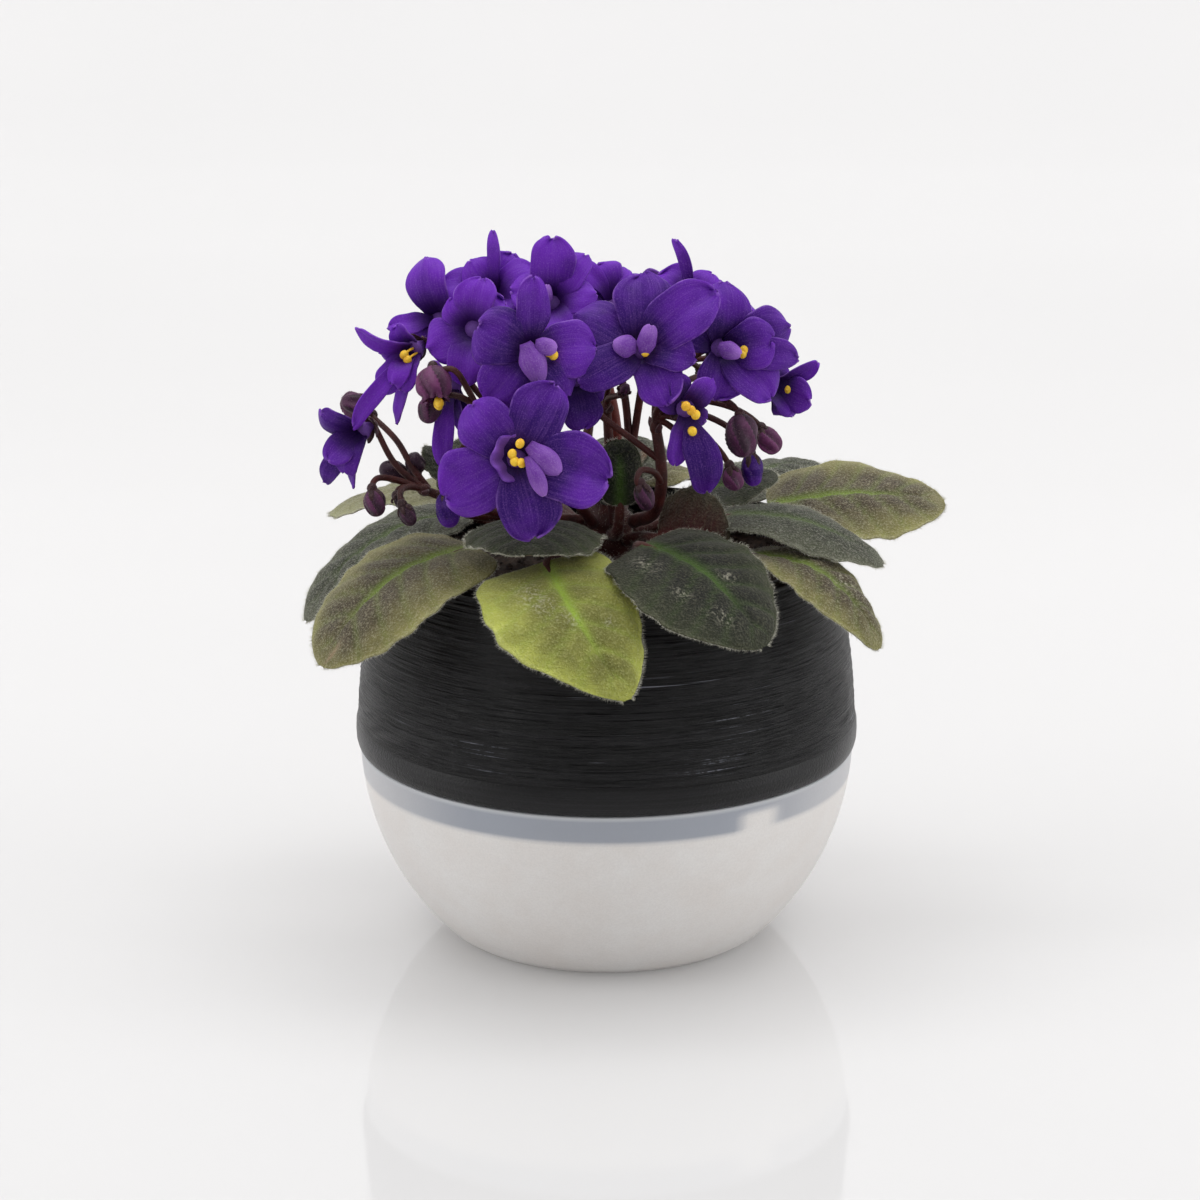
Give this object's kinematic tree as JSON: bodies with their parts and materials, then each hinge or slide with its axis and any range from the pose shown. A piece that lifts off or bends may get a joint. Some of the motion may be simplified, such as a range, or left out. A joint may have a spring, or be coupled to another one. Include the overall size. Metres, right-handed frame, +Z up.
{
  "type": "potted african violet",
  "caption": "African violet in bloom, with hairy leaves over the rim of a self-watering pot: a grooved black planter nested in a clear frosted bowl.",
  "frame": {"origin": "centre of the flat foot of the reservoir bowl, on the surface that the pot stands on", "axes": "+Z up along the pot's axis, -Y towards the front, where the largest bloom faces, +X to its right"},
  "size_m": [0.1657, 0.1663, 0.1867],
  "materials": {
    "bowl_plastic": "frosted translucent, smooth",
    "shell_plastic": "satin black with fine turned grooves",
    "soil": "moist crumbly peat mix",
    "crown": "hairy young growth",
    "leaf_olive": "velvety, short white hairs",
    "leaf_lime": "velvety, short white hairs",
    "leaf_dark": "velvety, short white hairs",
    "leaf_grey": "velvety, short white hairs",
    "stalk": "hairy red-brown stalks, calyces and buds",
    "petal": "silky violet, fine shimmer",
    "anther": "powdery yellow"
  },
  "bodies": {
    "root": {"reservoir_bowl": "bowl_plastic", "planter_shell": "shell_plastic", "soil": "soil", "crown": "crown", "leaf_front_left": "leaf_olive", "leaf_left": "leaf_grey", "leaf_front": "leaf_lime", "leaf_front_right": "leaf_dark", "leaf_right_low": "leaf_olive", "leaf_right_grey": "leaf_grey", "leaf_right_far": "leaf_olive", "leaf_back_right": "leaf_grey", "leaf_back": "leaf_olive", "leaf_back_middle_left": "leaf_dark", "leaf_back_left": "leaf_grey", "leaf_over_front": "leaf_dark", "leaf_over_right": "leaf_dark", "leaf_heart_front": "leaf_dark", "leaf_heart_upright": "leaf_dark", "leaf_over_left": "leaf_dark", "leaf_over_back": "leaf_grey", "leaf_over_back_left": "leaf_dark", "spray_left": "stalk", "spray_front": "stalk", "spray_middle": "stalk", "spray_right": "stalk", "spray_back": "stalk", "bloom_front": "petal", "bloom_upper_front": "petal", "bloom_upper_centre": "petal", "bloom_left_high": "petal", "bloom_left_side": "petal", "bloom_left_middle": "petal", "bloom_crest_left": "petal", "bloom_crest_middle": "petal", "bloom_crest_back": "petal", "bloom_crest_right": "petal", "bloom_right_front": "petal", "bloom_right_side": "petal", "bloom_right_wilted": "petal", "bloom_left_small": "petal", "bloom_left_drooping": "petal", "bloom_middle_dark": "petal", "bloom_back_left": "petal", "bloom_back": "petal", "bloom_back_right": "petal", "anthers_front": "anther", "anthers_upper_front": "anther", "anthers_upper_centre": "anther", "anthers_left_side": "anther", "anthers_right_front": "anther", "anthers_right_side": "anther", "anthers_right_wilted": "anther", "anthers_left_small": "anther", "anthers_back_left": "anther", "anthers_back": "anther"}
  },
  "joints": []
}
